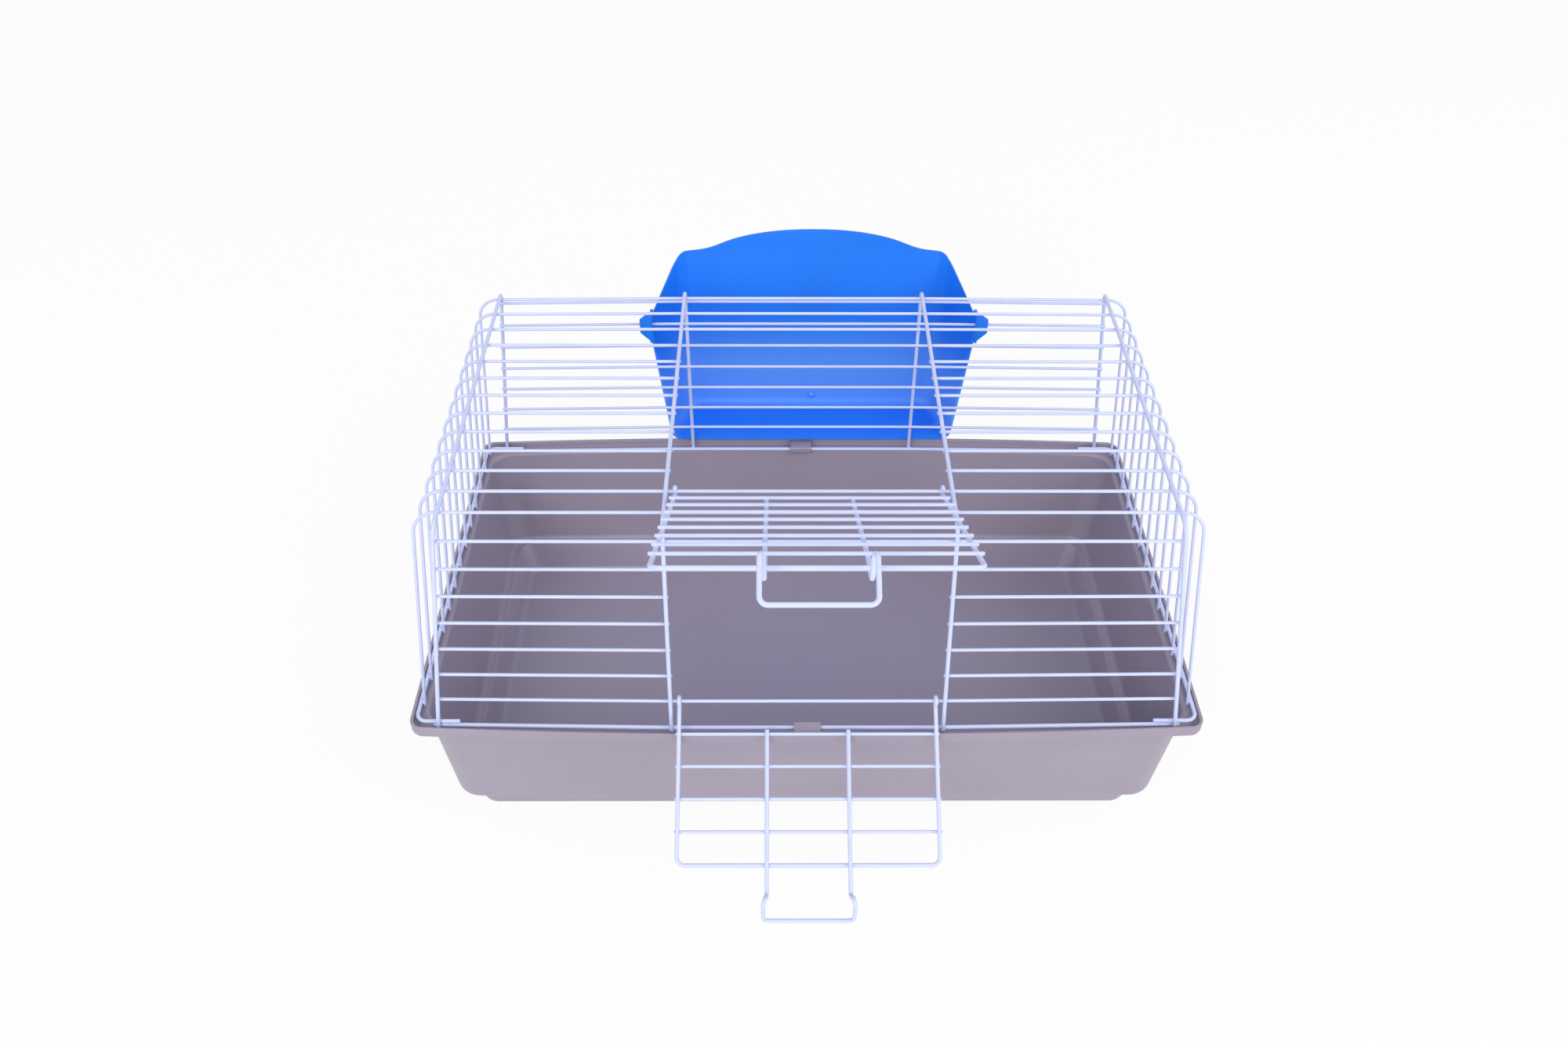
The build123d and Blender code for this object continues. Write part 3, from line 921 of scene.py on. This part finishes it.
def draw_end_rail(mesh, side):
    """End rail whose hooked ends lie on the long rails, with the welds of the roof wires' legs."""
    front_y = -RAIL_Y + HOOK_SHIFT
    x = end_rail_x()
    z = end_rail_z()
    points = [(HOOK_END_X, front_y, z), (x, front_y, z), (x, RAIL_Y, z), (HOOK_END_X, RAIL_Y, z)]
    draw_wire(mesh, [on_side(point, side) for point in points], wire().heavy, (HOOK_BEND, HOOK_BEND))
    for y in (-RAIL_Y, RAIL_Y):
        for share in HOOK_WELDS:
            weld_x = HOOK_END_X + share * (OUTER_LOW_X - HOOK_END_X)
            draw_weld(mesh, (side * weld_x, y, z - weld_depth()), RIGHT, BACK)
    for number in range(1, ROOF_COUNT + 1):
        foot = leg_foot(number)
        corner = leg_corner(number)
        place = foot.lerp(corner, (z - foot.z) / (corner.z - foot.z))
        place.x += wire().thin
        draw_weld(mesh, on_side(place, side), BACK, UP)


def weld_row(mesh, sides, places, across):
    """Welds of a cross wire, whose places are given on the right-hand side."""
    for side in sides:
        for place in places:
            draw_weld(mesh, on_side(place, side), RIGHT, across)


def weld_roof(mesh, number, sides):
    rise = Vector((0, 0, wire().thin))
    weld_row(mesh, sides, [roof_place(number, x) + rise for x in (OUTER_TOP_X, INNER_X)], BACK)


def draw_roof_wire(mesh, number):
    half = [leg_foot(number), leg_corner(number)]
    bends = [LEG_BEND]
    if roof_bow(number) > 0:
        half.append(roof_place(number, INNER_X))
        bends.append(BOW_BEND)
    other = [on_side(point, -1) for point in reversed(half)]
    draw_wire(mesh, half + other, wire().thin, bends + bends[::-1])
    weld_roof(mesh, number, (-1, 1))


def draw_side_roof_wire(mesh, number, side):
    inner_end = Vector((INNER_X - OVERHANG, roof_y(number), ROOF))
    points = [on_side(point, side) for point in (leg_foot(number), leg_corner(number), inner_end)]
    draw_wire(mesh, points, wire().thin, (LEG_BEND,))
    weld_roof(mesh, number, (side,))


def weld_front(mesh, number, sides):
    outer = front_place(number, weld_depth())
    inner = front_middle(number, weld_depth())
    weld_row(mesh, sides, [(outer_x(outer[1]), *outer), (INNER_X, *inner)], UP_FRONT)


def draw_front_wire(mesh, number):
    place = front_place(number, thin_on_heavy())
    half = outer_x(place[1]) + OVERHANG
    draw_bowed_wire(mesh, half, place, front_middle(number, thin_on_heavy()), wire().thin)
    weld_front(mesh, number, (-1, 1))


def draw_side_front_wire(mesh, number, side):
    place = front_place(number, thin_on_heavy())
    start = (side * (INNER_X - OVERHANG), *front_middle(number, thin_on_heavy()))
    draw_wire(mesh, [start, (side * (outer_x(place[1]) + OVERHANG), *place)], wire().thin)
    weld_front(mesh, number, (side,))


def draw_back_wire(mesh, number):
    z = back_z(number)
    y = stringer_back_y() - thin_on_heavy()
    draw_bowed_wire(mesh, outer_x(z) + OVERHANG, (y, z), (y + BACK_BOW, z), wire().thin)
    weld_y = stringer_back_y() - weld_depth()
    weld_row(mesh, (-1, 1), [(outer_x(z), weld_y, z), (INNER_X, weld_y + BACK_BOW, z)], UP)


# Doors
class Door:
    """One wire door drawn flat in its own frame and then set on its hinge wire.

    wire_side is 1 where the cross wires lie on the hoop's outer side and -1 on its inner side.
    catch is how far from the hinge wire the hooks catch."""

    def __init__(self, name, sizes, wire_side, catch, place):
        self.name = name
        self.length = sizes.length
        self.reach = sizes.reach
        self.wire_side = wire_side
        self.hook_y = catch + wire().thin + wire().heavy + LATCH_CLEAR
        self.place = place
        self.level = wire().thin + EYE_GAP + wire().heavy
        pitch = (sizes.length - sizes.first) / sizes.wires
        self.rows = [sizes.first + pitch * index for index in range(sizes.wires)]

    def set_down(self, mesh, part):
        bmesh.ops.transform(mesh, matrix=self.place, verts=mesh.verts)
        wire_piece(f"{self.name}_{part}", mesh, self.name)

    def frame(self):
        """Hoop of heavy wire whose ends wrap round the hinge wire."""
        mesh = bmesh.new()
        x = DOOR_RAIL_X
        level = self.level
        start = Vector((-x, -level * math.sin(EYE_TURN), level * math.cos(EYE_TURN)))
        heading = Vector((0, math.cos(EYE_TURN), math.sin(EYE_TURN)))
        bender = WireBender(mesh, start, heading, wire().heavy)
        bender.turn((-x, 0, 0), RIGHT, -EYE_TURN)
        hoop = ((-x, 0, level), (-x, self.length, level), (x, self.length, level), (x, 0, level))
        bender.follow([Vector(point) for point in hoop], (DOOR_CORNER, DOOR_CORNER))
        bender.turn((x, 0, 0), RIGHT, EYE_TURN)
        bender.close()
        self.set_down(mesh, "frame")

    def wires(self):
        """Cross wires welded to the hoop and to the latch's uprights."""
        mesh = bmesh.new()
        z = self.level + self.wire_side * thin_on_heavy()
        for y in self.rows:
            draw_wire(mesh, [(-DOOR_WIRE_HALF, y, z), (DOOR_WIRE_HALF, y, z)], wire().thin)
            for x in (-DOOR_RAIL_X, -UPRIGHT_X, UPRIGHT_X, DOOR_RAIL_X):
                draw_weld(mesh, (x, y, self.level + self.wire_side * weld_depth()), RIGHT, BACK)
        self.set_down(mesh, "wires")

    def latch(self):
        """Hairpin of heavy wire: two uprights, a hook on each and the handle between them."""
        mesh = bmesh.new()
        out = self.level - self.wire_side * heavy_on_heavy()
        tip = out - LATCH_DEPTH
        half = [
            Vector((UPRIGHT_X, self.rows[0] - UPRIGHT_BEFORE_FIRST, self.level)),
            Vector((UPRIGHT_X, self.rows[-1] + UPRIGHT_AFTER_LAST, self.level)),
            Vector((UPRIGHT_X, self.length - UPRIGHT_BEFORE_HOOP, out)),
            Vector((UPRIGHT_X, self.hook_y, out)),
            Vector((LATCH_X, self.hook_y, tip)),
            Vector((HANDLE_X, self.hook_y + LATCH_STEP, tip)),
            Vector((HANDLE_X, self.hook_y + self.reach, out + HANDLE_RISE)),
        ]
        other = [on_side(point, -1) for point in reversed(half)]
        draw_wire(mesh, half + other, wire().heavy, LATCH_BENDS + LATCH_BENDS[::-1])
        for x in (-UPRIGHT_X, UPRIGHT_X):
            place = (x, self.length, self.level - self.wire_side * weld_depth())
            draw_weld(mesh, place, RIGHT, BACK)
        self.set_down(mesh, "latch")

    def make(self):
        self.frame()
        self.wires()
        self.latch()


def hinge_place(y, z, turn):
    return Matrix.Translation((0, y, z)) @ Matrix.Rotation(turn, 4, "X")


# Studio
def seen_by_eye(tree):
    """Node whose value is 1 for what the camera, mirrors and glass see."""
    path = add_node(tree, "LightPath")
    first = add_node(tree, "Math", operation="MAXIMUM")
    second = add_node(tree, "Math", operation="MAXIMUM")
    join(tree,
         (path, "Is Camera Ray", first, 0),
         (path, "Is Glossy Ray", first, 1),
         (first, "Value", second, 0),
         (path, "Is Transmission Ray", second, 1))
    return second


def make_floor(colour, glow_share):
    """Pale floor that keeps the cage's shadow and is evened out to white for the eye."""
    mesh = bmesh.new()
    bmesh.ops.create_grid(mesh, x_segments=1, y_segments=1, size=FLOOR_HALF,
                          matrix=Matrix.Translation((0, 0, -FLOOR_DROP)))
    data = to_data("studio_floor", mesh)
    floor = add_object("studio_floor", data)
    material = bpy.data.materials.new("studio_floor")
    material.use_nodes = True
    tree = material.node_tree
    shader = tree.nodes["Principled BSDF"]
    set_values(shader, {"Base Color": (*colour, 1), "Roughness": 0.9, "Specular IOR Level": 0.1})
    glow = add_node(tree, "Emission")
    share = add_node(tree, "Math", {1: glow_share}, operation="MULTIPLY")
    mixed = add_node(tree, "MixShader")
    join(tree,
         (seen_by_eye(tree), "Value", share, 0),
         (share, "Value", mixed, "Fac"),
         (shader, "BSDF", mixed, 1),
         (glow, "Emission", mixed, 2),
         (mixed, "Shader", tree.nodes["Material Output"], "Surface"))
    data.materials.append(material)


def make_sky(strength):
    """Even light from all around, behind which the eye sees the backdrop."""
    world = bpy.data.worlds.new("studio_sky")
    bpy.context.scene.world = world
    world.use_nodes = True
    tree = world.node_tree
    light = tree.nodes["Background"]
    set_values(light, {"Color": WHITE, "Strength": strength})
    backdrop = add_node(tree, "Background", {"Color": WHITE, "Strength": BACKDROP})
    mixed = add_node(tree, "MixShader")
    join(tree,
         (seen_by_eye(tree), "Value", mixed, "Fac"),
         (light, "Background", mixed, 1),
         (backdrop, "Background", mixed, 2),
         (mixed, "Shader", tree.nodes["World Output"], "Surface"))


def make_lamp(name, place, size, power):
    data = bpy.data.lights.new(name, "AREA")
    data.shape = "DISK"
    data.size = size
    data.energy = power
    lamp = add_object(name, data)
    lamp.location = place
    aim = Vector(LIGHT_AIM) - lamp.location
    lamp.rotation_euler = aim.to_track_quat("-Z", "Y").to_euler()


def make_camera(sizes):
    level_share = math.cos(sizes.pitch)
    forward = Vector((math.sin(sizes.yaw) * level_share, math.cos(sizes.yaw) * level_share,
                      -math.sin(sizes.pitch)))
    level_right = Vector((math.cos(sizes.yaw), -math.sin(sizes.yaw), 0))
    level_up = level_right.cross(forward)
    right = level_right * math.cos(sizes.roll) + level_up * math.sin(sizes.roll)
    up = level_up * math.cos(sizes.roll) - level_right * math.sin(sizes.roll)
    turn = Matrix((right, up, -forward)).transposed().to_4x4()
    data = bpy.data.cameras.new("camera")
    data.sensor_width = SENSOR_WIDTH
    data.lens = sizes.focal
    data.clip_start = NEAREST_SEEN
    camera = add_object("camera", data)
    camera.matrix_world = Matrix.Translation(sizes.camera) @ turn
    bpy.context.scene.camera = camera


# Operators
class CAGE_OT_tray(bpy.types.Operator):
    """Mould the tray with its lip, rail ledge and clips"""

    bl_idname = "cage.tray"
    bl_label = "Tray"

    def execute(self, context):
        sizes = context.scene.cage_tray
        mesh = bmesh.new()
        draw_tray(mesh, sizes)
        draw_clip(mesh, -1, sizes)
        draw_clip(mesh, 1, sizes)
        make_piece("tray_moulding", mesh, tray_plastic(), "cage", "tray", SHARP_MOULDING)
        return {"FINISHED"}


class CAGE_OT_base_rails(bpy.types.Operator):
    """Draw the rails that lie on the tray's ledge"""

    bl_idname = "cage.base_rails"
    bl_label = "Base Rails"

    def execute(self, context):
        make_wires("front_base_rail", draw_base_rail, [-1], FRONT_BOW)
        make_wires("back_base_rail", draw_base_rail, [1], BACK_BOW)
        for end, side in SIDES:
            make_wires(f"{end}_base_rail", draw_end_rail, [side])
        return {"FINISHED"}


class CAGE_OT_stringers(bpy.types.Operator):
    """Bend the four stringers that run up the front, over the roof and down the back"""

    bl_idname = "cage.stringers"
    bl_label = "Stringers"

    def execute(self, context):
        for end, side in SIDES:
            make_wires(f"outer_stringer_{end}", draw_stringer, [side], OUTER_LOW_X, OUTER_TOP_X, 0)
        for end, side in SIDES:
            make_wires(f"inner_stringer_{end}", draw_stringer, [side], INNER_X, INNER_X, 1)
        return {"FINISHED"}


class CAGE_OT_roof_wires(bpy.types.Operator):
    """Bend the roof wires, whose ends come down as the cage's ends"""

    bl_idname = "cage.roof_wires"
    bl_label = "Roof Wires"

    def execute(self, context):
        beside_door = ROOF_CATCH + 1
        make_wires("roof_wires_back", draw_roof_wire, range(1, beside_door))
        make_wires("roof_wire_hinge", draw_roof_wire, [ROOF_HINGE])
        make_wires("roof_wire_front", draw_roof_wire, [ROOF_COUNT])
        for end, side in SIDES:
            make_wires(f"roof_wires_{end}", draw_side_roof_wire, range(beside_door, ROOF_HINGE), side)
        return {"FINISHED"}


class CAGE_OT_front_wires(bpy.types.Operator):
    """Draw the front's cross wires, above, below and beside the door opening"""

    bl_idname = "cage.front_wires"
    bl_label = "Front Wires"

    def execute(self, context):
        beside_door = FRONT_FULL + 1
        make_wires("front_wires_top", draw_front_wire, range(1, beside_door))
        make_wires("front_wire_hinge", draw_front_wire, [FRONT_COUNT])
        for end, side in SIDES:
            make_wires(f"front_wires_{end}", draw_side_front_wire, range(beside_door, FRONT_COUNT), side)
        return {"FINISHED"}


class CAGE_OT_back_wires(bpy.types.Operator):
    """Draw the back's cross wires"""

    bl_idname = "cage.back_wires"
    bl_label = "Back Wires"

    def execute(self, context):
        make_wires("back_wires", draw_back_wire, range(1, BACK_COUNT + 1))
        return {"FINISHED"}


class CAGE_OT_top_door(bpy.types.Operator):
    """Bend the roof's door, folded forward on its hinge wire"""

    bl_idname = "cage.top_door"
    bl_label = "Top Door"

    def execute(self, context):
        sizes = context.scene.cage_top_door
        place = hinge_place(roof_y(ROOF_HINGE), ROOF, math.pi - sizes.tilt)
        catch = roof_y(ROOF_CATCH) + roof_bow(ROOF_CATCH) - roof_y(ROOF_HINGE)
        Door("top_door", sizes, -1, catch, place).make()
        return {"FINISHED"}


class CAGE_OT_front_door(bpy.types.Operator):
    """Bend the front's door, folded down on its hinge wire"""

    bl_idname = "cage.front_door"
    bl_label = "Front Door"

    def execute(self, context):
        sizes = context.scene.cage_front_door
        hinge = front_middle(FRONT_COUNT, thin_on_heavy())
        place = hinge_place(*hinge, math.pi + sizes.tilt)
        catch = math.dist(hinge, front_middle(FRONT_CATCH, thin_on_heavy()))
        Door("front_door", sizes, 1, catch, place).make()
        return {"FINISHED"}


class CAGE_OT_hay_feeder(bpy.types.Operator):
    """Round the edges of the hay feeder that hangs on the back wires, and add its gate mark"""

    bl_idname = "cage.hay_feeder"
    bl_label = "Hay Feeder"

    def execute(self, context):
        sizes = context.scene.cage_feeder
        mesh = bmesh.new()
        mesh.from_mesh(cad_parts["hay_feeder"].data)
        bmesh.ops.remove_doubles(mesh, verts=mesh.verts, dist=SAME_PLACE)
        bmesh.ops.dissolve_limit(mesh, angle_limit=FLAT_ANGLE, verts=mesh.verts, edges=mesh.edges)
        edges = [edge for edge in mesh.edges if len(edge.link_faces) == 2]
        sharp = [edge for edge in edges if edge.calc_face_angle() > EDGE_ANGLE]
        round_off(mesh, sharp, sizes.edge_round, ROUND_STEPS, clamp_overlap=True)
        mark = Matrix.Translation(GATE_MARK) @ Matrix.Diagonal((1, GATE_MARK_DEPTH, 1, 1))
        bmesh.ops.create_uvsphere(mesh, u_segments=GATE_MARK_SIDES, v_segments=GATE_MARK_RINGS,
                                  radius=sizes.mark, matrix=mark)
        make_piece("hay_feeder_moulding", mesh, feeder_plastic(), "feeder", "hay_feeder",
                   SHARP_MOULDING)
        return {"FINISHED"}


class CAGE_OT_stage(bpy.types.Operator):
    """Set the pale floor, the soft light and the camera"""

    bl_idname = "cage.stage"
    bl_label = "Stage"

    def execute(self, context):
        sizes = context.scene.cage_stage
        context.scene.view_settings.view_transform = "Standard"
        make_floor(context.scene.cage_finish.floor, sizes.glow)
        make_sky(sizes.sky)
        make_lamp("key_light", KEY_PLACE, KEY_SIZE, sizes.key)
        make_lamp("fill_light", FILL_PLACE, FILL_SIZE, sizes.fill)
        make_camera(sizes)
        return {"FINISHED"}


class CAGE_PT_sidebar(bpy.types.Panel):
    """Sizes and pieces of the cage"""

    bl_idname = "CAGE_PT_sidebar"
    bl_label = "Rabbit Cage"
    bl_space_type = "VIEW_3D"
    bl_region_type = "UI"
    bl_category = "Cage"

    def draw(self, context):
        for name in GROUPS:
            group = getattr(context.scene, name)
            column = self.layout.column(align=True)
            for label in group.__annotations__:
                column.prop(group, label)
        for operator in OPERATORS:
            self.layout.operator(operator.bl_idname)


OPERATORS = (CAGE_OT_tray, CAGE_OT_base_rails, CAGE_OT_stringers, CAGE_OT_roof_wires, CAGE_OT_front_wires,
             CAGE_OT_back_wires, CAGE_OT_top_door, CAGE_OT_front_door, CAGE_OT_hay_feeder, CAGE_OT_stage)
GROUPS = {"cage_wire": WireSizes, "cage_tray": TraySizes, "cage_top_door": TopDoorSizes,
          "cage_front_door": FrontDoorSizes, "cage_feeder": FeederSizes, "cage_finish": CageFinishes,
          "cage_stage": StageSizes}
CLASSES = (*GROUPS.values(), *OPERATORS, CAGE_PT_sidebar)


def register():
    for item in CLASSES:
        bpy.utils.register_class(item)
    for name, group in GROUPS.items():
        setattr(bpy.types.Scene, name, PointerProperty(type=group))


def unregister():
    for name in GROUPS:
        delattr(bpy.types.Scene, name)
    for item in reversed(CLASSES):
        bpy.utils.unregister_class(item)


def main():
    register()
    bpy.ops.cage.tray()
    bpy.ops.cage.base_rails()
    bpy.ops.cage.stringers()
    bpy.ops.cage.roof_wires()
    bpy.ops.cage.front_wires()
    bpy.ops.cage.back_wires()
    bpy.ops.cage.top_door()
    bpy.ops.cage.front_door()
    bpy.ops.cage.hay_feeder()
    bpy.ops.cage.stage()


if __name__ == "__main__":
    main()
